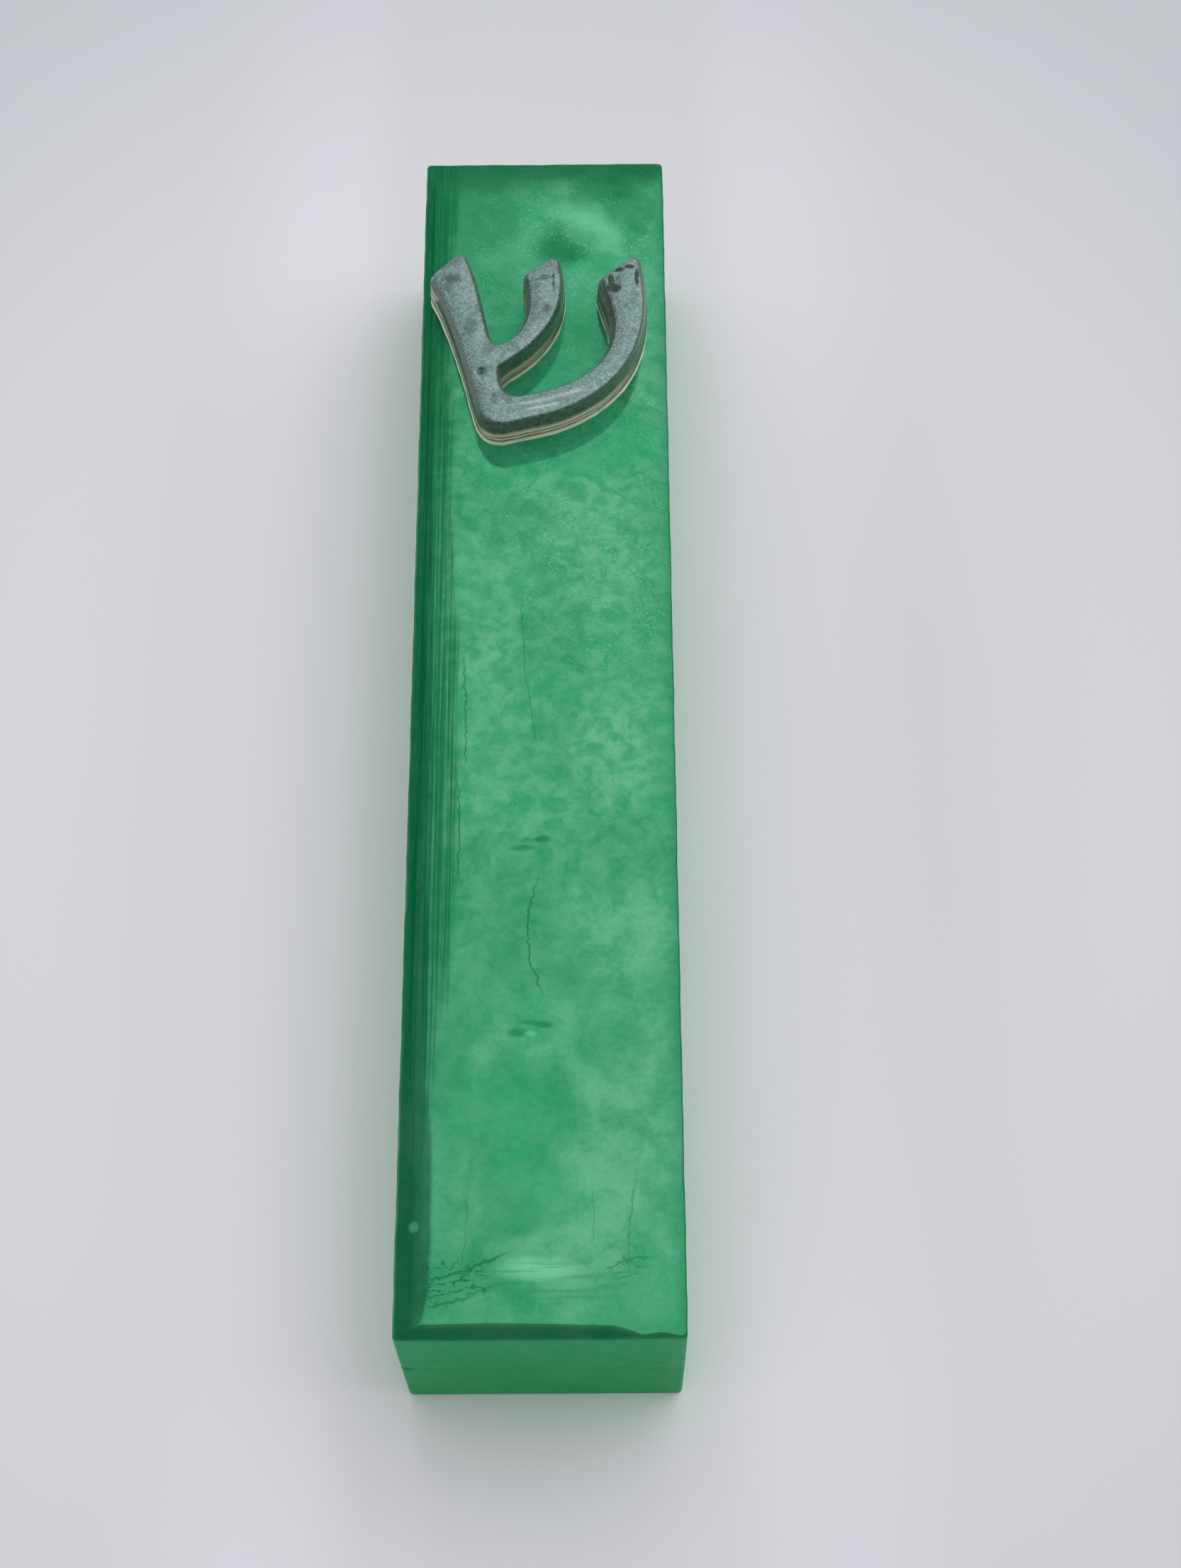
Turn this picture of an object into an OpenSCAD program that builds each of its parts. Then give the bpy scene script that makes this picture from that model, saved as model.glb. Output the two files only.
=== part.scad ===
// Mezuzah case cast in pearl green resin, with a raised letter shin on its front.
// A trough in the back holds a rolled parchment. A plate that is screwed or taped to the
// doorpost closes the trough, and the case presses on over the plate.
// Millimetres. The origin is the centre of the back rim, +Z points out of the front,
// and +Y points up the doorpost.

/* [Case body] */
// Width of the case
case_w = 24; // [23:0.5:28]
// Length of the case
case_l = 120; // [118:1:126]
// Thickness from the back rim to the flat of the front
case_t = 21; // [20:0.5:26]
// Radius of the four upright corners
corner_r = 0.4; // [0.2:0.1:1.5]

/* [Front face] */
// How far the edges of the front fall below its flat
front_fall = 0.7; // [0.2:0.1:1.5]
// Width of the slope along the left edge
slope_left = 3.5; // [1:0.5:5]
// Width of the slope along the right edge
slope_right = 4.4; // [1:0.2:5]
// Width of the slope along the top edge
slope_top = 5.4; // [1:0.2:8]
// Width of the slope along the bottom edge
slope_bottom = 4.5; // [2:0.5:8]
// Width of the steeper chamfer at the foot of the bottom slope
foot_chamfer_w = 1.1; // [0.5:0.1:1.5]
// Share of the fall that the chamfer takes
foot_chamfer_share = 0.7; // [0.3:0.1:0.9]

/* [Scroll chamber] */
// Width of the trough, and the diameter of its round roof
trough_w = 15; // [13:0.5:16]
// Length of the trough
trough_l = 110; // [104:1:112]
// Height of the roof's centre line above the back rim
trough_axis_z = 8.8; // [8:0.1:9.5]

/* [Back plate] */
// Width of the rim left on each side of the plate
rim_w = 3; // [2:0.5:4]
// Depth of the rebate that the plate sits in
rebate_d = 3.4; // [3:0.1:4]
// Thickness of the plate
plate_t = 3.1; // [2.4:0.1:3.1]
// How far the plate lies inside the rim
plate_inset = 0.2; // [0.1:0.1:0.3]
// Gap between the plate's edge and the rim, all round
plate_gap = 0.1; // [0.05:0.05:0.2]
// Distance between the two screw holes
screw_spacing = 106; // [100:1:106]
// Radius of a screw hole
screw_r = 1.6; // [1.2:0.1:2]
// Radius of a countersink at its mouth
sink_r = 3; // [2.4:0.1:3.4]

/* [Tape pads] */
// Width of a foam tape pad
tape_w = 12; // [8:1:14]
// Length of a foam tape pad
tape_l = 30; // [20:1:36]
// Thickness of the foam
foam_t = 0.9; // [0.6:0.1:1.2]
// Thickness of the peel-off liner
liner_t = 0.1; // [0.05:0.05:0.1]
// Distance of each pad's centre from the middle of the case
tape_y = 25; // [20:1:28]

/* [Scroll] */
// Length of the rolled parchment, which is its width when it lies flat
scroll_l = 100; // [90:1:100]
// Thickness of the parchment
parchment_t = 0.25; // [0.15:0.05:0.3]
// Radius of the innermost turn
roll_r = 3.9; // [3:0.1:4]
// Number of turns in the roll
roll_turns = 3.5; // [2:0.5:3.5]
// Distance from one turn to the next
roll_pitch = 0.37; // [0.35:0.01:0.37]
// Height of the roll's centre line above the back rim
scroll_z = 9.2; // [9.1:0.1:9.3]
// Outer radius of the clear film round the roll
film_r = 5.6; // [5.6:0.1:5.7]
// Thickness of the film
film_t = 0.15; // [0.1:0.05:0.15]

/* [Letter] */
// Height of the letter above the flat of the front
letter_t = 4; // [2:0.5:6]
// Thickness of the silver layer in its face
silver_t = 1; // [0.5:0.1:1.5]
// How far the silver layer's walls stand outside the flat of its face
letter_edge = 0.15; // [0:0.05:0.2]
// How much wider the clear part is than the silver layer, on each side
letter_draft = 0.2; // [0:0.05:0.2]
// How far the bead of glue stands outside the flat of the face
bead_w = 0.5; // [0.4:0.05:0.6]
// Height of the bead of glue above the flat of the front
bead_h = 0.2; // [0.1:0.1:0.5]

/* [Hidden] */
$fn = 64;
cut = 1;                       // how far cutting shapes run past a face
rebate_r = 1;                  // radius of the rebate's corners
pocket_gap = 0.1;              // gap between a foam pad and its pocket, all round
pad_r = 0.8;                   // radius of the foam pads' corners
film_overhang = 0.2;           // how far the film runs past each end of the roll
sink_d = sink_r - screw_r;     // depth of a 90 degree countersink
plate_w = case_w - 2 * rim_w - 2 * plate_gap;
plate_l = case_l - 2 * rim_w - 2 * plate_gap;
plate_top = plate_inset + plate_t;
foam_top = liner_t + foam_t;
edge_z = case_t - front_fall;  // height of the front's outer edge
chamfer_z = edge_z + front_fall * foot_chamfer_share;
silver_z = case_t + letter_t - silver_t;
steps_per_turn = 24;           // facets in a turn of the parchment
steps_per_curve = 6;           // facets in a stretch of the letter's outline

green = [0.10, 0.55, 0.33];
silver = [0.60, 0.65, 0.67];
clear = [0.45, 0.55, 0.45, 0.6];
cream = [0.90, 0.84, 0.70];

// Outline of the letter's face, clockwise from the left arm. Each row starts one stretch:
// a start point alone is a straight stretch to the next row's start, and a start point
// with two handles is a smooth curve to it.
SHIN = [
    [[-10.4, 41.9], [-10.7, 42.6], [-10.6, 42.8]],  // left arm, lower corner of its head
    [[-10.1, 43.3]],                                // left arm, slanted head
    [[-8.5, 44.9], [-8.1, 45.4], [-7.9, 45.3]],     // left arm, upper corner of its head
    [[-7.7, 44.8], [-6.6, 42.2], [-6.1, 38.4]],     // left arm, right side
    [[-5.4, 35.6], [-5.0, 34.2], [-4.0, 34.1]],     // crotch of the left and middle arms
    [[-3.0, 35.0], [-1.3, 36.4], [-0.8, 38.6]],     // middle arm, upper side
    [[-1.3, 41.9], [-1.6, 42.7], [-1.5, 42.9]],     // middle arm, lower corner of its head
    [[-0.9, 43.3]],                                 // middle arm, slanted head
    [[0.5, 44.4], [1.0, 44.8], [1.3, 44.7]],        // middle arm, upper corner of its head
    [[1.4, 44.1], [2.3, 39.8], [0.9, 35.6]],        // middle arm, lower side
    [[-4.0, 32.3], [-4.5, 32.0], [-4.4, 31.8]],     // where the middle arm meets the stem
    [[-4.4, 31.4], [-4.3, 29.4], [-3.6, 28.4]],     // inner heel
    [[-2.2, 28.5], [3.6, 29.4], [9.4, 32.8]],       // inside of the base and right arm
    [[6.1, 41.4], [5.8, 42.1], [5.9, 42.2]],        // right arm, lower corner of its head
    [[6.5, 42.7]],                                  // right arm, slanted head
    [[8.2, 44.4], [8.8, 44.9], [9.1, 44.8]],        // right arm, upper corner of its head
    [[9.2, 44.2], [10.9, 35.3], [8.0, 27.4]],       // outside of the right arm and base
    [[-3.4, 25.6], [-5.0, 25.5], [-5.5, 26.1]],     // outer heel
    [[-5.9, 27.4], [-6.9, 31.4], [-8.2, 37.0]],     // left arm, left side
];

// Points of one stretch of the outline, up to but not including the next stretch's start
function stretch(row, end) =
    len(row) == 1 ? [row[0]] :
    [for (i = [0 : steps_per_curve - 1])
        let (t = i / steps_per_curve, s = 1 - t)
        pow(s, 3) * row[0] + 3 * s * s * t * row[1] + 3 * s * t * t * row[2] + pow(t, 3) * end];

function unit(v) = v / norm(v);

// The letter's outline, moved outwards by a distance
function shin_outline(out) =
    let (pts = [for (i = [0 : len(SHIN) - 1])
                    each stretch(SHIN[i], SHIN[(i + 1) % len(SHIN)][0])],
         n = len(pts))
    [for (i = [0 : n - 1])
        let (along = unit(unit(pts[i] - pts[(i + n - 1) % n]) + unit(pts[(i + 1) % n] - pts[i])))
        pts[i] + out * [-along.y, along.x]];

// One side of the parchment's spiral section, at a distance from its middle
function spiral(out) =
    [for (i = [0 : steps_per_turn * roll_turns])
        let (turn = i / steps_per_turn, r = roll_r + roll_pitch * turn + out)
        r * [cos(360 * turn), sin(360 * turn)]];

function reversed(list) = [for (i = [len(list) - 1 : -1 : 0]) list[i]];

// A rectangle with true round corners, centred
module rounded_rect(w, l, r) {
    square([w - 2 * r, l], center = true);
    square([w, l - 2 * r], center = true);
    for (x = [-1, 1], y = [-1, 1])
        translate([x * (w / 2 - r), y * (l / 2 - r)]) circle(r);
}

// A section drawn as x and z, run along Y and centred
module along_y(length) {
    rotate([90, 0, 0]) linear_extrude(length, center = true) children();
}

// A section drawn as y and z, run along X and centred
module along_x(length) {
    rotate([90, 0, 90]) linear_extrude(length, center = true) children();
}

// The case's outside: a bar whose front slopes down towards all four edges
module case_outside() {
    intersection() {
        linear_extrude(case_t) rounded_rect(case_w, case_l, corner_r);
        along_y(case_l + 2 * cut) polygon([
            [-case_w / 2, 0], [case_w / 2, 0], [case_w / 2, edge_z],
            [case_w / 2 - slope_right, case_t], [-case_w / 2 + slope_left, case_t],
            [-case_w / 2, edge_z]]);
        along_x(case_w + 2 * cut) polygon([
            [-case_l / 2, 0], [case_l / 2, 0], [case_l / 2, edge_z],
            [case_l / 2 - slope_top, case_t], [-case_l / 2 + slope_bottom, case_t],
            [-case_l / 2 + foot_chamfer_w, chamfer_z], [-case_l / 2, edge_z]]);
    }
}

module case_body() {
    color(green) difference() {
        case_outside();
        along_y(trough_l) {
            translate([0, trough_axis_z]) circle(d = trough_w);
            translate([-trough_w / 2, 0]) square([trough_w, trough_axis_z]);
        }
        translate([0, 0, -cut]) linear_extrude(rebate_d + cut)
            rounded_rect(case_w - 2 * rim_w, case_l - 2 * rim_w, rebate_r);
    }
}

module shin_clear_layer() {
    color(clear) translate([0, 0, case_t])
        linear_extrude(letter_t - silver_t) polygon(shin_outline(letter_edge + letter_draft));
}

module shin_silver_layer() {
    color(silver) translate([0, 0, silver_z])
        linear_extrude(silver_t) polygon(shin_outline(letter_edge));
}

// The bead stands round the letter's foot and fills the gap over the left slope
module shin_glue_bead() {
    color(cream) difference() {
        translate([0, 0, edge_z]) linear_extrude(front_fall + bead_h)
            polygon(shin_outline(bead_w));
        case_outside();
        translate([0, 0, case_t]) linear_extrude(letter_t)
            polygon(shin_outline(letter_edge + letter_draft));
    }
}

module back_plate() {
    color(green) difference() {
        translate([0, 0, plate_inset]) linear_extrude(plate_t)
            rounded_rect(plate_w, plate_l, rebate_r - plate_gap);
        for (side = [-1, 1]) {
            translate([0, side * screw_spacing / 2, 0]) {
                cylinder(h = plate_top + cut, r = screw_r);
                translate([0, 0, plate_top - sink_d])
                    cylinder(h = sink_d, r1 = screw_r, r2 = sink_r);
            }
            translate([0, side * tape_y, 0]) linear_extrude(foam_top)
                rounded_rect(tape_w + 2 * pocket_gap, tape_l + 2 * pocket_gap, pad_r + pocket_gap);
        }
    }
}

module foam_tape(side) {
    color("white") translate([0, side * tape_y, liner_t])
        linear_extrude(foam_t) rounded_rect(tape_w, tape_l, pad_r);
}

module tape_liner(side) {
    color(cream) translate([0, side * tape_y, 0])
        linear_extrude(liner_t) rounded_rect(tape_w, tape_l, pad_r);
}

module scroll_parchment() {
    color(cream) translate([0, 0, scroll_z]) along_y(scroll_l)
        polygon(concat(spiral(-parchment_t / 2), reversed(spiral(parchment_t / 2))));
}

module scroll_film() {
    color(clear) translate([0, 0, scroll_z]) along_y(scroll_l + 2 * film_overhang)
        difference() {
            circle(film_r);
            circle(film_r - film_t);
        }
}

case_body();
shin_clear_layer();
shin_silver_layer();
shin_glue_bead();
back_plate();
foam_tape(1);  // foam_tape_upper
foam_tape(-1);  // foam_tape_lower
tape_liner(1);  // tape_liner_upper
tape_liner(-1);  // tape_liner_lower
scroll_parchment();
scroll_film();
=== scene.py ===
import math

import bpy
import numpy as np
from mathutils import Euler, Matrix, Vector
from mathutils.geometry import delaunay_2d_cdt


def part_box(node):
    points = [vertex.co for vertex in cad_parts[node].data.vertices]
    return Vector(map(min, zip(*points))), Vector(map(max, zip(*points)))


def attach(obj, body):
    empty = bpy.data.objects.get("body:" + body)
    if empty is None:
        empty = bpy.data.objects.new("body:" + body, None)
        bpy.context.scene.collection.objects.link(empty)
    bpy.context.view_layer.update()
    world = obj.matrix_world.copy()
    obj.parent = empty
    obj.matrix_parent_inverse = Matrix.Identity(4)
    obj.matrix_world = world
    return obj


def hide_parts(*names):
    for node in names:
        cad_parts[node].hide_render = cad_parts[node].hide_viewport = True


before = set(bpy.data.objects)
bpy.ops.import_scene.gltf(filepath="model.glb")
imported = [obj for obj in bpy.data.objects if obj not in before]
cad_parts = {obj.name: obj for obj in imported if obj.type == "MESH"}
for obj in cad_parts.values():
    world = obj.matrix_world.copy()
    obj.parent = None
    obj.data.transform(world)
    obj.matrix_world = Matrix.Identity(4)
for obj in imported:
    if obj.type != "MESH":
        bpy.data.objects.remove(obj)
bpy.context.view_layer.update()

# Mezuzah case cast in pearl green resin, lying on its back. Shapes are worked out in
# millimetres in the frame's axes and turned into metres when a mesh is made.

MM = 0.001

# ---------------------------------------------------------------- sizes, in millimetres


def cad_size(node):
    """A CAD node's lowest and highest corners."""
    low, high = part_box(node)
    return np.array(low) / MM, np.array(high) / MM


CASE_LOW, CASE_HIGH = cad_size("case_body")
CASE_W, CASE_L, CASE_T = CASE_HIGH - CASE_LOW
CLEAR_LOW, CLEAR_HIGH = cad_size("shin_clear_layer")
SILVER_LOW, SILVER_HIGH = cad_size("shin_silver_layer")
PLATE_LOW, PLATE_HIGH = cad_size("back_plate")
SCROLL_LOW, SCROLL_HIGH = cad_size("scroll_parchment")
FILM_LOW, FILM_HIGH = cad_size("scroll_film")

CORNER_R = 0.4        # upright corners of the case
EDGE_R = 0.25         # soft edge round the front
BACK_EDGE_R = 0.3     # soft edge round the back rim
TROUGH_W, TROUGH_L = 15.0, 110.0
TROUGH_AXIS_Z = 8.8
RIM_W = 3.0
REBATE_D = 3.4
REBATE_R = 1.0
FALL = 0.7            # how far the front's edges lie below its flat
SCREW_SPACING = 106.0
SCREW_R, SINK_R = 1.6, 3.0
PARCHMENT_T = 0.25
ROLL_R, ROLL_TURNS, ROLL_PITCH = 3.9, 3.5, 0.37     # the roll's inner radius, turns and growth a turn
FILM_T, FILM_TURNS = 0.05, 1.2
SCROLL_Z = (FILM_LOW[2] + FILM_HIGH[2]) / 2
POUR_Z = 10.4         # height of the line between the two pours of resin

# ---------------------------------------------------------------- mesh helpers


def waves(t, seed, lengths):
    """A smooth wavy value from -1 to 1 along t, made of sines of these lengths."""
    rng = np.random.default_rng(seed)
    total = sum(np.sin(2 * np.pi * (t / length + rng.random())) for length in lengths)
    return total / len(lengths)


def ramp(x, soft):
    """max(x, 0) with a corner rounded over about soft."""
    return soft * np.logaddexp(0, x / soft)


def smooth(low, high, x):
    t = np.clip((x - low) / (high - low), 0, 1)
    return t * t * (3 - 2 * t)


def placed(name, data):
    """A new object in the scene."""
    made = bpy.data.objects.new(name, data)
    bpy.context.scene.collection.objects.link(made)
    return made


def make_piece(name, points, faces, materials, body, replaces, face_material=None, sharp=40):
    """A mesh piece in metres that rides on a body and stands for CAD nodes."""
    mesh = bpy.data.meshes.new(name)
    mesh.from_pydata((np.asarray(points, float) * MM).tolist(), [], faces)
    for material in materials:
        mesh.materials.append(material)
    if face_material is not None:
        mesh.polygons.foreach_set("material_index", face_material)
    mesh.validate()
    mesh.shade_smooth()
    mesh.set_sharp_from_angle(angle=math.radians(sharp))
    piece = placed(name, mesh)
    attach(piece, body)
    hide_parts(*replaces)
    return piece


class Solid:
    """Points and faces of a closed solid that is built from rings, bridged and filled."""

    def __init__(self):
        self.points, self.faces = [], []

    def ring(self, points):
        start = len(self.points)
        self.points.extend(tuple(p) for p in points)
        return list(range(start, len(self.points)))

    def bridge(self, upper, lower):
        """Quads between two rings that run anticlockwise seen from outside the upper one."""
        n = len(upper)
        for i in range(n):
            j = (i + 1) % n
            self.faces.append((upper[i], lower[i], lower[j], upper[j]))

    def tube(self, rings):
        """Bridges each ring to the next."""
        for upper, lower in zip(rings, rings[1:]):
            self.bridge(upper, lower)

    def fill(self, outer, inners=(), up=True, inside=(), height=None):
        """Triangles over the region between a ring and the rings in it, through extra points inside."""
        known = [i for loop in (outer, *inners) for i in loop]
        flat = [Vector(self.points[i][:2]) for i in known]
        edges, start = [], 0
        for loop in (outer, *inners):
            n = len(loop)
            edges += [(start + i, start + (i + 1) % n) for i in range(n)]
            start += n
        if len(inside):
            known += self.ring([(x, y, height(np.array([[x, y]]))[0]) for x, y in inside])
            flat += [Vector(p) for p in inside]
        _, _, triangles, origin, _, _ = delaunay_2d_cdt(flat, edges, [], 0, 1e-6)
        if max(len(o) for o in origin) > 1 or len(origin) != len(flat):
            raise ValueError("two points of a filled region lie on each other")
        back = [known[o[0]] for o in origin]
        loops = [np.array([self.points[i][:2] for i in loop]) for loop in (outer, *inners)]
        place = np.array([self.points[i][:2] for i in back])
        corners = np.array(triangles)
        middle = place[corners].mean(axis=1)
        kept = np.sum([in_loop(middle, loop) for loop in loops], axis=0) == 1
        for tri in corners[kept]:
            a, b, c = (back[i] for i in tri)
            pa, pb, pc = (self.points[i] for i in (a, b, c))
            turn = (pb[0] - pa[0]) * (pc[1] - pa[1]) - (pb[1] - pa[1]) * (pc[0] - pa[0])
            self.faces.append((a, b, c) if (turn > 0) == up else (a, c, b))


def in_loop(points, loop):
    """1 for each point inside a closed loop, else 0."""
    x, y = points[:, :1], points[:, 1:]
    a, b = loop, np.roll(loop, -1, axis=0)
    spans = (a[:, 1] > y) != (b[:, 1] > y)
    rise = np.where(b[:, 1] == a[:, 1], 1, b[:, 1] - a[:, 1])
    crosses = spans & (x < a[:, 0] + (y - a[:, 1]) / rise * (b[:, 0] - a[:, 0]))
    return crosses.sum(axis=1) % 2


def rounded_loop(w, l, r, centre=(0, 0), steps=6, along=4):
    """An anticlockwise rounded rectangle."""
    loop = []
    for k, (sx, sy) in enumerate([(1, 1), (-1, 1), (-1, -1), (1, -1)]):
        for i in range(steps + 1):
            a = math.radians(90 * (k + i / steps))
            loop.append((centre[0] + sx * (w / 2 - r) + r * math.cos(a),
                         centre[1] + sy * (l / 2 - r) + r * math.sin(a)))
    dense = []
    for i, p in enumerate(loop):
        q = loop[(i + 1) % len(loop)]
        count = along if math.dist(p, q) > 2 * r else 1
        dense += [(p[0] + (q[0] - p[0]) * k / count, p[1] + (q[1] - p[1]) * k / count)
                  for k in range(count)]
    return np.array(dense)


def circle_loop(r, centre, steps=48):
    a = np.linspace(0, 2 * np.pi, steps, endpoint=False)
    return np.stack([centre[0] + r * np.cos(a), centre[1] + r * np.sin(a)], axis=1)


def at_height(loop, z):
    """A flat loop with a height, one number or one for each point."""
    return np.column_stack([loop, np.broadcast_to(z, len(loop))])


def rim_of(grid):
    """The values round the rim of a grid, anticlockwise."""
    return np.concatenate([grid[0, :-1], grid[:-1, -1], grid[-1, :0:-1], grid[:0:-1, 0]])


# ---------------------------------------------------------------- node helpers


class Nodes:
    """Short ways to add nodes to a node tree."""

    def __init__(self, tree):
        self.tree = tree

    def add(self, kind, props=None, **inputs):
        made = self.tree.nodes.new(kind)
        for key, value in (props or {}).items():
            setattr(made, key, value)
        for key, value in inputs.items():
            self.put(value, made.inputs[key.replace("_", " ")])
        return made

    def put(self, value, socket):
        if isinstance(value, bpy.types.NodeSocket):
            self.tree.links.new(value, socket)
        else:
            socket.default_value = value

    def math(self, operation, *values, clamp=False):
        made = self.add("ShaderNodeMath", {"operation": operation, "use_clamp": clamp})
        for value, socket in zip(values, made.inputs):
            self.put(value, socket)
        return made.outputs[0]

    def vector(self, operation, *values, Scale=None):
        made = self.add("ShaderNodeVectorMath", {"operation": operation})
        for value, socket in zip(values, made.inputs):
            self.put(value, socket)
        if Scale is not None:
            self.put(Scale, made.inputs["Scale"])
        return made.outputs["Value" if operation in ("DISTANCE", "LENGTH") else "Vector"]

    def span(self, value, low, high, to_low=0.0, to_high=1.0):
        """value taken smoothly from low..high to to_low..to_high, and held outside."""
        made = self.add("ShaderNodeMapRange", {"interpolation_type": "SMOOTHSTEP"}, Value=value,
                        From_Min=low, From_Max=high, To_Min=to_low, To_Max=to_high)
        return made.outputs[0]

    def product(self, *values):
        result = values[0]
        for value in values[1:]:
            result = self.math("MULTIPLY", result, value)
        return result

    def split(self, vector):
        return self.add("ShaderNodeSeparateXYZ", Vector=vector).outputs

    def plus(self, a, b):
        return self.math("ADD", a, b)

    def minus(self, a, b):
        return self.math("SUBTRACT", a, b)

    def gap(self, a, b):
        """How far two values are apart."""
        return self.math("ABSOLUTE", self.minus(a, b))

    def mix(self, share, a, b):
        made = self.add("ShaderNodeMix", {"data_type": "RGBA"})
        self.put(share, made.inputs[0])
        for colour, socket in ((a, made.inputs[6]), (b, made.inputs[7])):
            self.put(colour if isinstance(colour, bpy.types.NodeSocket) else (*colour, 1), socket)
        return made.outputs[2]

    def bump(self, height, distance, normal=None):
        """A bump whose height of 1 stands distance millimetres high."""
        made = self.add("ShaderNodeBump", Height=height, Distance=distance * MM, Strength=1.0)
        if normal is not None:
            self.put(normal, made.inputs["Normal"])
        return made.outputs[0]


class Look(Nodes):
    """A material with one Principled shader, worked out in the piece's own millimetres."""

    def __init__(self, name, **constants):
        self.material = bpy.data.materials.new(name)
        self.material.use_nodes = True
        super().__init__(self.material.node_tree)
        self.shader = self.tree.nodes["Principled BSDF"]
        self.set(**constants)
        coords = self.add("ShaderNodeTexCoord")
        self.place = self.vector("SCALE", coords.outputs["Object"], Scale=1 / MM)
        self.x, self.y, self.z = self.split(self.place)

    def set(self, **inputs):
        for key, value in inputs.items():
            self.put(value, self.shader.inputs[key.replace("_", " ")])

    def tint(self, share, colour):
        """Lays a share of a colour over the look's tone so far."""
        self.tone = self.mix(share, self.tone, colour)

    def noise(self, scale, detail=4.0, roughness=0.55, distortion=0.0, place=None, stretch=None,
              output="Fac"):
        where = place or self.place
        if stretch:
            where = self.vector("MULTIPLY", where, stretch)
        return self.add("ShaderNodeTexNoise", Vector=where, Scale=scale, Detail=detail,
                        Roughness=roughness, Distortion=distortion).outputs[output]

    def cells(self, scale, output="Distance"):
        return self.add("ShaderNodeTexVoronoi", Vector=self.place, Scale=scale).outputs[output]

    def flakes(self, scale):
        """A random value for each of many small cells."""
        return self.add("ShaderNodeSeparateColor", Color=self.cells(scale, "Color")).outputs[0]

    def facing(self):
        """The parts of the surface's direction along x, y and z."""
        return self.split(self.add("ShaderNodeNewGeometry").outputs["Normal"])

    def pushed(self, share, towards, start=(0.5, 0.5, 0.5)):
        """The place, moved by a share of the way from start to towards."""
        way = self.vector("SUBTRACT", towards, start)
        return self.vector("ADD", self.place, self.vector("SCALE", way, Scale=share))

    def turned(self, place, degrees):
        """A place turned about the front's own axis."""
        return self.add("ShaderNodeVectorRotate", {"rotation_type": "Z_AXIS"}, Vector=place,
                        Angle=math.radians(degrees)).outputs[0]

    def patch(self, x, y, rx, ry, place=None):
        """1 at a place on the front, falling to 0 at an ellipse round it."""
        px, py, _ = self.split(place or self.place)
        dx = self.math("DIVIDE", self.minus(px, x), rx)
        dy = self.math("DIVIDE", self.minus(py, y), ry)
        far = self.plus(self.product(dx, dx), self.product(dy, dy))
        return self.span(far, 0.0, 1.0, 1.0, 0.0)

    def patches(self, spots, place=None):
        """Sum of patches (x, y, rx, ry, strength), each fading to 0 at its ellipse."""
        total = 0.0
        for x, y, rx, ry, strength in spots:
            total = self.math("MULTIPLY_ADD", self.patch(x, y, rx, ry, place), strength, total)
        return total

    def hair(self, start, end, bulge, width, place=None):
        """1 along a thin bowed line on the front, given from its lower to its upper end."""
        px, py, _ = self.split(place or self.place)
        (x0, y0), (x1, y1) = start, end
        length = math.hypot(x1 - x0, y1 - y0)
        ux, uy = (x1 - x0) / length, (y1 - y0) / length
        dx, dy = self.minus(px, x0), self.minus(py, y0)
        t = self.math("DIVIDE", self.plus(self.product(dx, ux), self.product(dy, uy)), length)
        off = self.minus(self.product(dx, uy), self.product(dy, ux))
        bow = self.product(t, self.minus(1.0, t), 4.0 * bulge)
        return self.product(self.span(self.gap(off, bow), 0.0, width, 1.0, 0.0),
                            self.span(t, -0.02, 0.12), self.span(t, 0.75, 1.02, 1.0, 0.0))


# ---------------------------------------------------------------- materials


# pearl clouds, and thin places where the resin is darker: x, y, reach in x and y, strength
PALE = [(5.5, 13.0, 7.0, 8.0, 0.4), (6.5, -7.0, 5.5, 7.0, 0.55), (-4.3, 2.5, 3.2, 3.0, 0.35),
        (-4.0, 13.5, 3.0, 3.5, 0.2), (7.0, -25.0, 5.0, 6.0, 0.4), (6.5, -44.0, 4.5, 9.5, 0.75),
        (2.5, -53.0, 5.5, 3.6, 0.75), (-6.2, -47.0, 2.5, 5.5, 0.35), (5.0, 27.0, 5.0, 4.0, 0.3),
        (-4.5, -37.5, 2.2, 3.0, 0.25), (3.0, 35.0, 3.5, 4.5, 0.4), (-2.0, 30.0, 3.0, 3.0, 0.45),
        (9.0, -33.0, 3.5, 7.0, 0.3), (-3.5, -9.0, 3.0, 4.0, 0.15), (10.5, -41.0, 3.0, 9.0, 0.6),
        (2.5, 20.0, 5.0, 6.0, 0.25)]
THIN = [(-2.5, -43.0, 5.5, 8.0, 0.75), (0.0, -50.3, 4.0, 2.2, 0.45), (-7.6, -38.0, 2.5, 7.5, 0.75),
        (-4.0, 22.0, 5.0, 3.0, 0.3), (-8.0, -20.0, 2.0, 5.0, 0.6), (-1.5, -24.0, 4.0, 4.5, 0.2),
        (0.5, 48.5, 3.2, 3.6, 0.6), (0.0, 44.0, 10.0, 14.0, 0.3), (-6.5, -54.8, 4.5, 3.0, 0.6),
        (8.5, 55.0, 4.0, 5.0, 0.4), (-4.0, 57.0, 6.0, 3.5, 0.4), (-8.5, 50.0, 3.0, 9.0, 0.3),
        (9.0, -57.0, 5.0, 3.0, 0.3), (10.0, 52.0, 3.0, 5.0, 0.3), (2.0, -1.0, 3.0, 6.0, 0.15),
        (-9.5, 52.0, 4.0, 11.0, 0.7), (-5.0, 58.5, 8.0, 3.6, 0.8), (6.0, 58.8, 8.0, 2.2, 0.5)]


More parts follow.
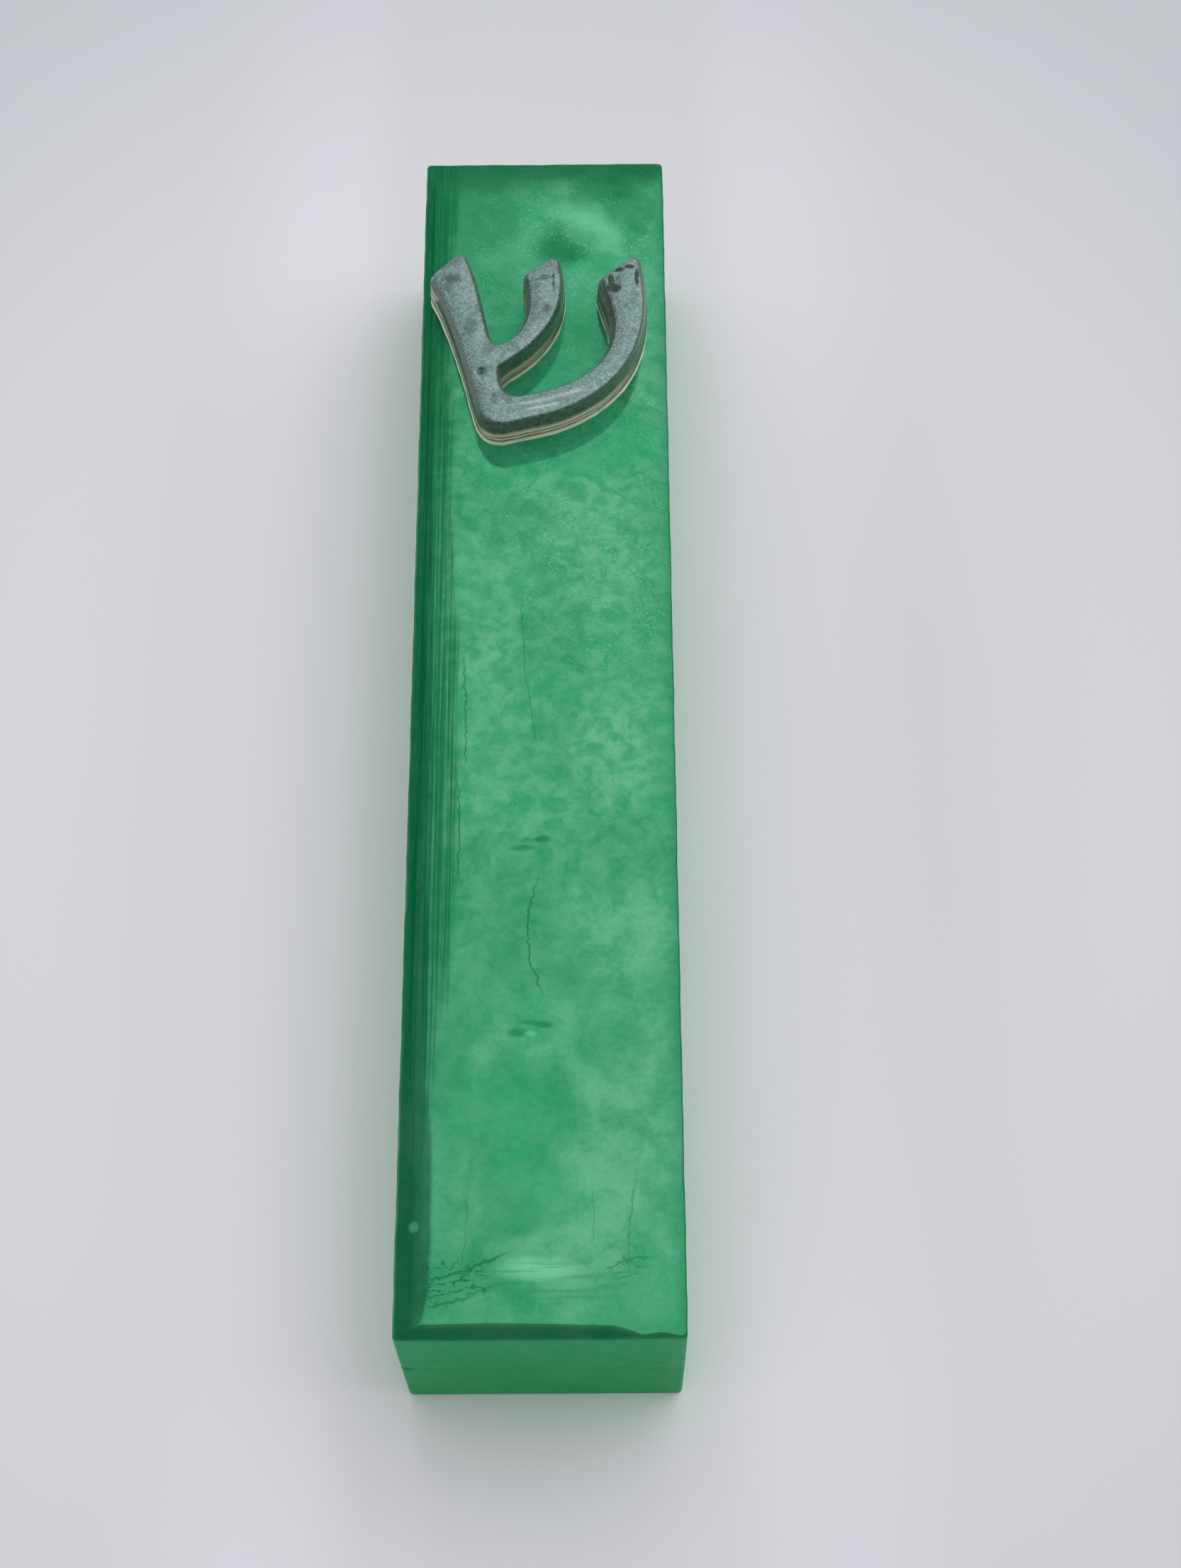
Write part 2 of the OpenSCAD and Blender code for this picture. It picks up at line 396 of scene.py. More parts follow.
def resin_tone(look, front=False):
    """Sets the look's tone: deep green with pearl clouds. Other marks use its flow and fluff."""
    look.flow = look.pushed(4.0, look.noise(0.22, 2.0, 0.5, output="Color"))
    deep = look.noise(0.1, 2.0, 0.5, place=look.flow)
    look.fluff = look.noise(0.62, 3.0, 0.55, place=look.flow)
    fine = look.noise(2.2, 3.0, 0.6)
    if front:
        # softer clouds at the foot and at the top
        misty = look.math("MAXIMUM", look.span(look.y, -36.0, -14.0, 0.55, 0.0),
                          look.span(look.y, 38.0, 48.0, 0.0, 0.65))
        soft = look.noise(0.3, 1.0, 0.4, place=look.flow)
        look.fluff = look.plus(look.product(look.fluff, look.minus(1.0, misty)),
                               look.product(soft, misty))
    pale = look.math("MULTIPLY_ADD", look.span(deep, 0.4, 0.6), 0.3, 0.28)
    if front:
        pale = look.plus(pale, look.patches(PALE, look.flow))
        pale = look.math("SUBTRACT", pale, look.patches(THIN, look.flow), clamp=True)
        pale = look.math("MULTIPLY_ADD", look.math("MINIMUM", pale, 1.0), 0.46, 0.36)
    cotton = look.plus(look.span(look.fluff, 0.3, 0.7, 0.25, 0.8),
                       look.span(fine, 0.3, 0.7, 0.0, 0.18))
    look.tone = look.mix(look.span(deep, 0.35, 0.65), (0.0, 0.212, 0.072), (0.0, 0.24, 0.088))
    look.tint(look.product(pale, cotton), (0.15, 0.435, 0.27))


def cracks(look):
    """1 along feathery cracks at the foot of the front, and a few long hairs and tiny bubbles."""
    bent = look.pushed(0.9, look.noise(1.3, 4.0, 0.6, output="Color"))
    leaning = look.vector("MULTIPLY", look.turned(bent, -14), (0.45, 1.7, 0.0))
    net = look.add("ShaderNodeTexVoronoi", {"feature": "DISTANCE_TO_EDGE", "voronoi_dimensions": "2D"},
                   Vector=leaning, Scale=1.0).outputs["Distance"]
    broken = look.span(look.noise(0.9, 3.0, 0.6), 0.42, 0.6)
    where = look.patches([(-7.2, -55.3, 4.2, 2.6, 1.6), (7.2, -54.3, 2.4, 1.5, 1.0)])
    veins = look.product(look.span(net, 0.0, 0.105, 1.0, 0.0), where, broken)
    # each hair: its lower end, its upper end, bulge, width, strength
    hairs = [((-9.3, -55.3), (-2.0, -52.6), 0.3, 0.2, 1.0), ((-9.3, -57.4), (-5.0, -56.3), 0.2, 0.18, 0.9),
             ((-6.6, -54.6), (-6.2, -47.6), 0.3, 0.09, 0.4), ((5.2, -54.6), (9.3, -53.4), -0.4, 0.18, 0.8),
             ((7.2, -54.8), (8.1, -46.0), -0.25, 0.13, 0.55), ((4.3, -52.0), (4.2, -47.0), 0.1, 0.09, 0.4),
             ((0.3, -31.0), (0.3, -18.0), -1.5, 0.15, 0.8), ((-0.2, -7.5), (-1.9, 11.5), -0.6, 0.12, 0.5),
             ((-7.3, -20.0), (-7.6, -9.0), 0.1, 0.14, 0.6), ((-6.9, -9.0), (-7.3, 4.0), 0.1, 0.12, 0.6)]
    total = veins
    for start, end, bulge, width, strength in hairs:
        line = look.hair(start, end, bulge, width, bent)
        total = look.math("MAXIMUM", total, look.product(line, strength))
    bubbles = [(-1.4, 25.0, 0.42), (11.1, 43.2, 0.3), (2.9, -3.5, 0.24), (-2.6, -12.4, 0.24)]
    for x, y, r in bubbles:
        rim = look.gap(look.vector("DISTANCE", look.place, (x, y, CASE_T)), r)
        total = look.math("MAXIMUM", total, look.span(rim, 0.0, 0.09, 0.5, 0.0))
    return look.math("MINIMUM", total, 1.0)


def dent_shade(look):
    """Painted shade on the sloping sides of two small dimples in the front, smudged."""
    marks = [(0.1, -15.9, 0.9, 0.45, 1.0), (-1.7, -16.7, 1.5, 0.4, 0.8), (-1.2, -16.0, 1.2, 0.35, 0.5),
             (0.2, -33.2, 1.0, 0.4, 1.0), (-2.0, -33.9, 1.2, 0.55, 0.9), (-1.0, -33.0, 1.1, 0.3, 0.7)]
    smudged = look.patches(marks, look.pushed(0.15, look.flow, look.place))
    return look.product(smudged, look.span(look.fluff, 0.2, 0.6, 0.5, 1.0))


def left_streaks(look):
    """1 in the streaks that the resin was drawn into beside its left edge."""
    fibres = look.noise(1.0, 4.0, 0.7, stretch=(3.4, 0.03, 1.0))
    broad = look.noise(0.5, 3.0, 0.6, stretch=(1.3, 0.1, 1.0))
    bow = look.span(look.gap(look.y, -8.0), 4.0, 36.0, 0.0, 1.7)
    inner = look.plus(look.plus(look.x, bow), look.span(broad, 0.3, 0.7, -0.9, 0.9))
    zone = look.span(inner, -6.3, -8.4)
    low = look.span(look.y, -48.0, -30.0, 0.35, 1.0)
    return look.product(zone, low, look.span(fibres, 0.4, 0.6, 0.15, 1.0))


def pearl_front():
    """The glossy front: the pearl lies level under the surface and shines back."""
    look = Look("pearl_resin_front", Coat_Weight=1.0, Coat_Roughness=0.015, Coat_IOR=1.16,
                Specular_IOR_Level=0.0)
    resin_tone(look, front=True)
    # the pearl swirl above the letter, round a hole
    ring = look.vector("DISTANCE", look.pushed(0.6, look.flow, look.place), (1.6, 48.8, CASE_T))
    swirl = look.product(look.span(ring, 2.6, 4.6), look.span(ring, 4.8, 6.6, 1.0, 0.0),
                         look.span(look.y, 45.0, 50.0), look.span(look.x, -5.0, 4.5, 0.1, 0.5),
                         look.span(look.y, 56.5, 51.0, 0.25, 1.0),
                         look.span(look.fluff, 0.3, 0.62, 0.35, 1.0))
    look.tint(swirl, (0.15, 0.535, 0.275))
    hole = look.product(look.span(ring, 3.4, 0.8), look.span(look.fluff, 0.3, 0.7, 0.85, 0.4))
    look.tint(hole, (0.0, 0.12, 0.04))
    # fine flakes, in slanting drifts towards the top right
    drifts = look.noise(0.32, 4.0, 0.6, place=look.turned(look.place, 42), stretch=(1.0, 3.2, 1.0))
    flakes = look.noise(4.8, 2.0, 0.8)
    right = look.span(look.plus(look.x, look.product(look.y, 0.35)), -4.0, 9.0, 0.35, 1.0)
    upper = look.product(look.span(look.y, -12.0, 10.0, 0.15, 1.0), right, look.span(drifts, 0.38, 0.62))
    sparkle = look.product(look.span(flakes, 0.52, 0.66), upper)
    look.tint(look.product(sparkle, 0.55), (0.15, 0.56, 0.33))
    # painted shade: darker where the front falls away to its edges, along its upper left and round its top
    depth = look.minus(CASE_T, look.math("MULTIPLY_ADD", look.fluff, -0.1, look.z))
    low = look.span(depth, 0.14, 0.44, 0.0, 0.65)
    reach = look.minus(look.math("MULTIPLY_ADD", look.fluff, 3.0, look.x),
                       look.span(look.y, 42.0, 54.0, 0.0, 1.0))
    upper_left_shade = look.product(look.span(reach, -5.6, -8.8, 0.0, 0.7), look.span(look.y, 8.0, 28.0))
    top = look.patches([(-6.0, 59.5, 10.0, 4.2, 0.75), (7.0, 59.5, 8.0, 3.0, 0.5),
                        (9.5, 54.0, 2.5, 4.0, 0.35), (-7.5, 53.0, 6.0, 7.0, 0.5),
                        (5.5, 56.0, 5.0, 3.0, 0.45), (1.6, 48.8, 2.4, 2.2, 0.5)], look.flow)
    upper_left_shade = look.math("MAXIMUM", upper_left_shade, look.math("MINIMUM", top, 0.6))
    look.tint(look.math("MAXIMUM", low, upper_left_shade), (0.0, 0.15, 0.048))
    streaked = left_streaks(look)
    look.tint(look.product(streaked, 0.85), (0.0, 0.15, 0.052))
    # level streaks where the foot was wiped, and a painted highlight across the foot
    wiped = look.noise(1.0, 4.0, 0.6, stretch=(0.12, 2.2, 1.0))
    wiped = look.product(look.span(wiped, 0.48, 0.66), look.patch(0.5, -55.4, 9.0, 2.4))
    look.tint(look.product(wiped, 0.45), (0.0, 0.18, 0.07))
    # painted highlight along the foot
    shine = look.product(look.patch(-0.3, -54.3, 4.2, 1.3), look.span(wiped, 0.0, 0.6, 1.0, 0.4))
    look.tint(look.product(shine, 0.45), (0.2, 0.6, 0.37))
    crack = cracks(look)
    look.tint(look.product(crack, 0.7), (0.0, 0.105, 0.038))
    # painted shade in two small dimples of the front
    look.tint(look.product(dent_shade(look), 0.85), (0.0, 0.15, 0.055))
    # painted highlights: small light spots on a dimple, a bubble and near the left foot
    highlight_specks = look.patches([(-10.4, -50.7, 0.55, 0.6, 0.8), (-0.9, -34.0, 0.7, 0.35, 0.5),
                           (-1.3, 25.2, 0.4, 0.22, 0.3)])
    look.tint(highlight_specks, (0.12, 0.48, 0.27))
    # round the letter the surface mirrors less, and painted light lifts its colour where the letter's shade
    # and reflection fall
    letter_zone = look.patches([(2.0, 26.5, 11.0, 6.0, 1.6), (1.0, 35.0, 9.0, 8.0, 1.4)])
    letter_zone = look.math("MINIMUM", letter_zone, 1.0)
    look.tint(look.product(letter_zone, 0.3), (0.01, 0.52, 0.215))
    look.set(Base_Color=look.tone, Roughness=look.span(look.fluff, 0.3, 0.7, 0.09, 0.06),
             Metallic=look.span(letter_zone, 0.0, 1.0, 0.5, 0.22))
    swell = look.noise(0.45, 2.0)
    wavy = look.bump(swell, 0.008)
    grooved = look.bump(streaked, 0.008, normal=wavy)
    cut = look.bump(crack, -0.012, normal=grooved)
    look.set(Normal=look.bump(flakes, 0.003, normal=cut), Coat_Normal=cut)
    return look.material


def pearl_wall():
    """The same resin on the walls, with the satin skin that the mould left."""
    look = Look("pearl_resin_wall", Specular_IOR_Level=0.04)
    resin_tone(look)
    streaks = look.noise(0.5, 4.0, 0.6, stretch=(0.25, 0.25, 2.2))
    look.tint(look.span(streaks, 0.45, 0.7, 0.7, 0.92), (0.0, 0.32, 0.078))
    # painted light: the walls lighter towards their top
    look.tint(look.span(look.z, 4.0, 19.0, 0.0, 0.5), (0.02, 0.39, 0.155))
    look.set(Base_Color=look.tone, Roughness=look.span(look.fluff, 0.3, 0.7, 0.35, 0.5))
    look.set(Normal=look.bump(look.noise(1.2, 3.0), 0.01))
    return look.material


def sanded_resin(name):
    """The same resin where it has been sanded flat and matt."""
    look = Look(name, Metallic=0.1, Specular_IOR_Level=0.3)
    resin_tone(look)
    dust = look.noise(3.0, 4.0, 0.7)
    look.tint(look.span(dust, 0.45, 0.75, 0.1, 0.45), (0.13, 0.36, 0.23))
    scratch = look.noise(1.0, 4.0, 0.7, stretch=(5.0, 0.12, 5.0))
    crossed = look.noise(1.0, 3.0, 0.7, stretch=(0.25, 4.0, 4.0))
    look.tint(look.span(scratch, 0.58, 0.66, 0.0, 0.35), (0.2, 0.42, 0.29))
    look.set(Base_Color=look.tone, Roughness=look.span(dust, 0.3, 0.7, 0.4, 0.58),
             Normal=look.bump(crossed, 0.01, normal=look.bump(scratch, 0.02)))
    return look.material


def clear_resin():
    """The clear back of the letter: flakes sank into its upper part, its foot is yellowed."""
    look = Look("clear_resin", IOR=1.5, Transmission_Weight=0.15)
    haze = look.noise(0.5, 3.0, 0.6)
    above = look.minus(look.math("MULTIPLY_ADD", haze, 0.5, look.z), CLEAR_LOW[2] + 0.25)
    glint = look.flakes(5.0)
    runs = look.noise(1.0, 3.0, 0.6, stretch=(3.0, 3.0, 0.5))
    look.tone = look.mix(glint, (0.085, 0.115, 0.085), (0.185, 0.225, 0.175))
    look.tint(look.span(runs, 0.4, 0.65, 0.0, 0.55), (0.06, 0.08, 0.058))
    # the yellowed part shows on the walls that face the case's foot, and less on those to the left
    aside, along, _ = look.facing()
    seen = look.math("MAXIMUM", look.span(along, -0.25, -0.85), look.span(aside, -0.5, -0.95, 0.0, 0.45))
    look.tint(look.product(look.span(above, 2.0, 1.3), seen), (0.84, 0.73, 0.55))
    for height, width in ((1.1, 0.15), (0.62, 0.13)):
        line = look.span(look.gap(above, height), 0.4 * width, width, 0.85, 0.0)
        look.tint(line, (0.08, 0.068, 0.045))
    look.tint(look.span(above, 0.4, 0.32), (0.92, 0.98, 0.78))
    look.set(Base_Color=look.tone, Roughness=look.span(haze, 0.3, 0.7, 0.04, 0.1),
             Normal=look.bump(runs, 0.02))
    return look.material


def silver_resin():
    """Clear resin crowded with silver flakes that lie level, so the sides look dark."""
    look = Look("silver_flake_resin", Coat_Weight=0.8, Coat_Roughness=0.04, Coat_IOR=1.22,
                Specular_IOR_Level=0.2)
    glint = look.flakes(8.0)
    cloud = look.noise(0.7, 5.0, 0.6)
    look.tone = look.mix(look.span(glint, 0.1, 0.9), (0.125, 0.205, 0.188), (0.262, 0.372, 0.348))
    look.tint(look.span(cloud, 0.48, 0.68, 0.0, 0.5), (0.075, 0.12, 0.105))
    pits = [(-5.9, 31.4, 0.5, 0.6, 1.2), (6.9, 41.0, 0.95, 0.8, 1.6), (6.6, 42.0, 0.4, 0.9, 1.8),
            (7.4, 43.2, 0.7, 0.36, 1.8), (8.4, 43.5, 0.6, 0.32, 1.8), (9.1, 42.2, 0.26, 1.3, 1.8),
            (-8.7, 42.2, 1.2, 0.8, 0.6), (0.2, 42.3, 0.8, 0.5, 0.6), (0.4, 38.6, 0.7, 0.6, 0.5),
            (1.0, 41.9, 0.2, 1.6, 0.9), (-6.9, 36.6, 0.8, 1.6, 0.5), (-4.6, 28.2, 0.5, 0.9, 0.6)]
    ragged = look.span(look.noise(2.5, 3.0, 0.7), 0.35, 0.6, 0.5, 1.2)
    pitted = look.math("MINIMUM", look.product(look.patches(pits), ragged), 1.0)
    look.tint(pitted, (0.035, 0.052, 0.04))
    # painted highlights: two pale streaks along the rounded top of the lower stroke
    crest_highlight = look.math("MAXIMUM", look.hair((-3.0, 27.4), (4.4, 29.5), 0.25, 0.36),
                      look.hair((-1.5, 27.0), (2.0, 27.8), 0.1, 0.26))
    look.tint(look.product(crest_highlight, ragged, 0.45), (0.56, 0.64, 0.61))
    side = look.mix(glint, (0.035, 0.068, 0.05), (0.12, 0.185, 0.15))
    level = look.span(look.facing()[2], 0.78, 0.985)
    look.set(Base_Color=look.mix(level, side, look.tone), Metallic=look.span(level, 0.0, 1.0, 0.1, 0.7),
             Roughness=look.span(glint, 0.0, 1.0, 0.28, 0.42),
             Normal=look.bump(glint, 0.01), Coat_Normal=look.bump(cloud, 0.06))
    return look.material


def glue():
    look = Look("clear_glue", Roughness=0.12, IOR=1.5, Transmission_Weight=0.2)
    patch = look.noise(0.9, 4.0, 0.6)
    look.set(Base_Color=look.mix(patch, (0.8, 0.86, 0.64), (0.96, 1.0, 0.84)),
             Normal=look.bump(patch, 0.02))
    return look.material


def foam():
    look = Look("foam_tape", Roughness=0.9)
    cells = look.cells(3.5)
    look.set(Base_Color=look.mix(look.span(cells, 0.0, 0.5), (0.62, 0.62, 0.6), (0.86, 0.86, 0.84)),
             Normal=look.bump(cells, 0.06))
    return look.material


def liner():
    look = Look("liner_paper", Coat_Weight=0.3, Coat_Roughness=0.3)
    fibre = look.noise(1.2, 6.0, 0.7, stretch=(3.0, 0.6, 1.0))
    look.set(Base_Color=look.mix(fibre, (0.66, 0.52, 0.3), (0.84, 0.72, 0.5)),
             Roughness=look.span(fibre, 0.3, 0.7, 0.35, 0.5), Normal=look.bump(fibre, 0.01))
    return look.material


def parchment():
    """Scraped skin: creamy, with darker veins, pores and a scuffed outer edge."""
    look = Look("parchment", Specular_IOR_Level=0.3)
    skin = look.noise(0.22, 6.0, 0.6, 0.5)
    grain = look.noise(3.0, 4.0, 0.7)
    pores = look.cells(2.6)
    vein = look.gap(look.noise(0.35, 3.0, 0.5, 1.2), 0.5)
    look.tone = look.mix(look.span(skin, 0.35, 0.68), (0.74, 0.58, 0.35), (0.9, 0.79, 0.58))
    look.tint(look.span(vein, 0.0, 0.03, 0.3, 0.0), (0.52, 0.36, 0.2))
    look.tint(look.span(pores, 0.0, 0.12, 0.5, 0.0), (0.5, 0.36, 0.21))
    look.tint(look.span(grain, 0.55, 0.8, 0.0, 0.5), (0.6, 0.45, 0.27))
    ends = look.span(look.math("ABSOLUTE", look.y), 47.5, 50.0, 0.0, 0.5)
    look.tint(ends, (0.58, 0.42, 0.24))
    look.set(Base_Color=look.tone, Roughness=look.span(grain, 0.3, 0.7, 0.55, 0.8),
             Normal=look.bump(grain, 0.03, normal=look.bump(skin, 0.05)))
    return look.material


def film():
    look = Look("clear_film", IOR=1.45, Transmission_Weight=1.0)
    crease = look.noise(0.35, 5.0, 0.6, 1.5, stretch=(1.0, 0.4, 1.0))
    look.set(Base_Color=look.mix(crease, (0.9, 0.93, 0.93), (0.98, 0.99, 0.99)),
             Roughness=look.span(crease, 0.3, 0.7, 0.02, 0.1), Normal=look.bump(crease, 0.05))
    return look.material


PEARL = pearl_front()
PEARL_WALL = pearl_wall()
SANDED_RIM = sanded_resin("sanded_rim")

# ---------------------------------------------------------------- the case


def graded(half, zones):
    """Line positions from -half to half: zones are (how far from each end, spacing)."""
    lines, at = [-half], -half
    for reach, step in zones:
        stop = min(-half + reach, 0)
        count = max(1, round((stop - at) / step))
        lines += list(np.linspace(at, stop, count + 1)[1:])
        at = stop
    return np.array(lines + [-x for x in reversed(lines[:-1])])


def plan(u, v, w, l, r):
    """Where the grid place (u, v), each from -1 to 1, lies in a rounded rectangle."""
    x, y = u * w / 2, v * l / 2
    a, b = np.abs(x) - (w / 2 - r), np.abs(y) - (l / 2 - r)
    corner = (a > 0) & (b > 0)
    pull = np.where(corner, np.maximum(a, b) / np.maximum(np.hypot(a, b), 1e-9), 1)
    x = np.where(corner, np.sign(x) * (w / 2 - r + a * pull), x)
    y = np.where(corner, np.sign(y) * (l / 2 - r + b * pull), y)
    return x, y


def front_fall(x, y):
    """How far the front lies below its flat at a place, as it came out of its mould."""
    left, right = x + CASE_W / 2, CASE_W / 2 - x
    top, bottom = CASE_L / 2 - y, y + CASE_L / 2
    # a steep band along the left edge, widest at the bottom, and a gentle slope beside it
    band = np.interp(y, [-60, -45, -38, -12, 0, 15, 30, 60], [2.8, 2.8, 2.2, 1.9, 1.8, 1.4, 1.2, 0.9])
    band = band + 0.08 * waves(y, 1, (23, 9, 4))
    gentle = np.interp(y, [-60, -46, -35, -22, -10, 2, 15, 30, 60],
                       [3.3, 3.3, 3.7, 4.8, 5.1, 4.8, 3.7, 3.4, 3.0])
    facet = 0.35 + 0.65 * smooth(0.3, 1.6, bottom - 0.55 * left + 0.8)
    fall_left = 0.16 * facet * ramp(band - left, 0.09) + 0.06 * ramp(gentle - left, 0.3)
    fall_right = 0.28 * np.clip(1 - right / 4.4, 0, 1) ** 2.2
    fall_top = 0.5 * np.clip(1 - top / 5.4, 0, 1) ** 1.4
    # a steep chamfer along the bottom edge, wavy, and running out towards the right corner
    chamfer = np.interp(x, [-12, -9, -4, 1, 6, 7.5, 8.3, 9.8, 10.8, 12],
                        [1.25, 1.2, 1.3, 1.2, 1.05, 0.6, 0.3, 0.5, 0.35, 0.05])
    fall_bottom = 0.2 * np.clip(1 - bottom / 4.5, 0, 1) ** 1.3 + 0.42 * ramp(chamfer - bottom, 0.05)
    # where two slopes meet, the deeper one rules, and a high power keeps their corner soft
    power = 6
    falls = np.stack([fall_left, fall_right, fall_top, fall_bottom])
    fall = (falls ** power).sum(axis=0) ** (1 / power)
    for dent_y in (-16.4, -33.7):
        near = ((x + 1.0) / 1.1) ** 2 + ((y - dent_y) / 0.6) ** 2
        fall = fall + 0.05 * np.exp(-near * 1.5)
    ripple = 2 + waves(x + 0.3 * y, 5, (17, 11)) + waves(y - 0.4 * x, 6, (31, 19))
    fall = fall + 0.006 * ripple
    return np.clip(fall, 0, FALL)


def case_body():
    xs = graded(CASE_W / 2, [(0.6, 0.1), (1.6, 0.16), (5.5, 0.26), (CASE_W, 0.42)]) / (CASE_W / 2)
    ys = graded(CASE_L / 2, [(0.6, 0.1), (2.0, 0.16), (6.0, 0.3), (CASE_L, 0.5)]) / (CASE_L / 2)
    nx, ny = len(xs), len(ys)
    index = np.arange(nx * ny).reshape(ny, nx)
    edge = rim_of(index)
    u, v = np.meshgrid(xs, ys)
    ub, vb = u.ravel()[edge], v.ravel()[edge]
    n = len(edge)

    def lines_of(w, l, r, z, inset=0.0):
        x, y = plan(ub, vb, w - 2 * inset, l - 2 * inset, r)
        return np.column_stack([x, y, np.broadcast_to(z, n)])

    # front
    fx, fy = plan(u.ravel(), v.ravel(), CASE_W - 2 * EDGE_R, CASE_L - 2 * EDGE_R, CORNER_R - EDGE_R / 2)
    front = np.column_stack([fx, fy, CASE_T - front_fall(fx, fy)])
    brim = front[edge, 2]
    # the outline wanders a little where the mould's lip was uneven
    round_it = np.concatenate([[0], np.cumsum(np.hypot(*np.diff(front[edge, :2], axis=0).T))])
    wander = 0.035 * (1 + waves(round_it, 8, (13, 7, 3.1)))
    rings, kinds = [], []
    glossy, satin, sanded = range(3)
    whole = (CASE_W, CASE_L, CORNER_R)

    def add(ring, kind=satin):
        rings.append(ring)
        kinds.append(kind)

    for t in (30, 60, 90):
        a = math.radians(t)
        inset = EDGE_R * (1 - math.sin(a)) + wander
        add(lines_of(*whole, brim - EDGE_R * (1 - math.cos(a)), inset), glossy)
    wall_top = brim - EDGE_R
    notch = np.exp(-(((ub + 1) * CASE_W / 2) ** 2 + ((vb + 1) * CASE_L / 2) ** 2) / 0.8)
    pour = POUR_Z + 0.35 * waves(round_it, 9, (29, 12, 5))
    for share in (0.93, 0.82, 0.68, 0.5, 0.3, 0.12):
        z = pour + 0.5 + (wall_top - pour - 0.5) * share
        add(lines_of(*whole, z, wander * share))
    for rise, depth in ((0.28, 0.003), (0.1, 0.014), (0.0, 0.018), (-0.12, 0.01), (-0.3, 0.0)):
        groove = depth * (0.4 + 0.6 * smooth(-0.4, 0.6, waves(round_it, 10, (41, 17)))) + 14 * depth * notch
        add(lines_of(*whole, pour + rise, groove))
    for share in (0.85, 0.65, 0.45, 0.25, 0.1):
        add(lines_of(*whole, BACK_EDGE_R + (pour - 0.3 - BACK_EDGE_R) * share))
    for t in (0, 30, 60, 90):
        a = math.radians(t)
        add(lines_of(*whole, BACK_EDGE_R * (1 - math.sin(a)), BACK_EDGE_R * (1 - math.cos(a))))
    # back rim, rebate, ledge and trough
    inner_w, inner_l = CASE_W - 2 * RIM_W, CASE_L - 2 * RIM_W
    for out in (2.0, 1.0, 0.3):
        add(lines_of(inner_w + 2 * out, inner_l + 2 * out, REBATE_R + out * 0.5, 0.0), sanded)
    add(lines_of(inner_w, inner_l, REBATE_R, 0.25), sanded)
    for z in (1.2, 2.3, REBATE_D - 0.1):
        add(lines_of(inner_w, inner_l, REBATE_R, z))
    add(lines_of(inner_w - 0.2, inner_l - 0.2, REBATE_R, REBATE_D))
    add(lines_of(TROUGH_W + 0.4, TROUGH_L + 0.4, 0.4, REBATE_D))
    xt, _ = plan(ub, vb, TROUGH_W, TROUGH_L, 0.3)

    def roof(x):
        return TROUGH_AXIS_Z + np.sqrt(np.clip((TROUGH_W / 2) ** 2 - x * x, 0, None))

    for share in (0.0, 0.3, 0.6, 0.85):
        low = REBATE_D + 0.2
        add(lines_of(TROUGH_W, TROUGH_L, 0.3, low + (roof(xt) - low) * share))
    rx, ry = plan(u.ravel(), v.ravel(), TROUGH_W, TROUGH_L, 0.3)
    ceiling = np.column_stack([rx, ry, roof(rx)])

    points = np.concatenate([front, *rings, ceiling])
    quads = [np.column_stack([index[:-1, :-1].ravel(), index[:-1, 1:].ravel(),
                              index[1:, 1:].ravel(), index[1:, :-1].ravel()])]
    marks = [np.zeros(len(quads[0]), int)]
    base = nx * ny + len(rings) * n
    chain = [edge, *(nx * ny + k * n + np.arange(n) for k in range(len(rings))), base + edge]
    for upper, lower, kind in zip(chain, chain[1:], [*kinds, satin]):
        quads.append(np.column_stack([upper, lower, np.roll(lower, -1), np.roll(upper, -1)]))
        marks.append(np.full(n, kind))
    quads.append(base + quads[0][:, ::-1])
    marks.append(np.full(len(quads[0]), satin))
    return make_piece("case_shell", points, np.concatenate(quads).tolist(), [PEARL, PEARL_WALL, SANDED_RIM],
                      "case", ["case_body"], np.concatenate(marks).tolist())


# ---------------------------------------------------------------- the letter


def shin_outline(spacing):
    """The letter's outline as a smooth closed curve with points about spacing apart."""
    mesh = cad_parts["shin_silver_layer"].data
    mesh.calc_loop_triangles()
    points = np.array([v.co for v in mesh.vertices]) / MM
    level = points[:, 2].max() - 0.01
    uses = {}
    for tri in mesh.loop_triangles:
        keys = [tuple(np.round(points[i, :2], 3)) for i in tri.vertices]
        if all(points[i, 2] > level for i in tri.vertices):
            for a, b in zip(keys, keys[1:] + keys[:1]):
                uses[(a, b)] = (b, a) in uses
                if (b, a) in uses:
                    uses[(b, a)] = True
    after = dict(pair for pair, shared in uses.items() if not shared)
    loop = [next(iter(after))]
    while after[loop[-1]] != loop[0]:
        loop.append(after[loop[-1]])
    knots = np.array(loop)
    a, b, c, d = (np.roll(knots, k, axis=0) for k in (1, 0, -1, -2))
    fine = [0.5 * (2 * b + (c - a) * t + (2 * a - 5 * b + 4 * c - d) * t * t
                   + (3 * b - a - 3 * c + d) * t ** 3) for t in np.linspace(0, 1, 8, endpoint=False)]
    curve = np.stack(fine, axis=1).reshape(-1, 2)
    closed = np.vstack([curve, curve[:1]])
    along = np.concatenate([[0], np.cumsum(np.hypot(*np.diff(closed, axis=0).T))])
    at = np.linspace(0, along[-1], round(along[-1] / spacing), endpoint=False)
    return np.column_stack([np.interp(at, along, closed[:, k]) for k in (0, 1)])


OUTLINE_STEP = 0.2
OUTLINE = shin_outline(OUTLINE_STEP)


def outward():
    """The outward direction at each point of the letter's outline."""
    along = np.roll(OUTLINE, -1, axis=0) - np.roll(OUTLINE, 1, axis=0)
    along /= np.hypot(along[:, :1], along[:, 1:])
    return np.column_stack([along[:, 1], -along[:, 0]])


def grown(out):
    """The letter's outline moved outwards."""
    return OUTLINE + np.broadcast_to(out, len(OUTLINE))[:, None] * outward()


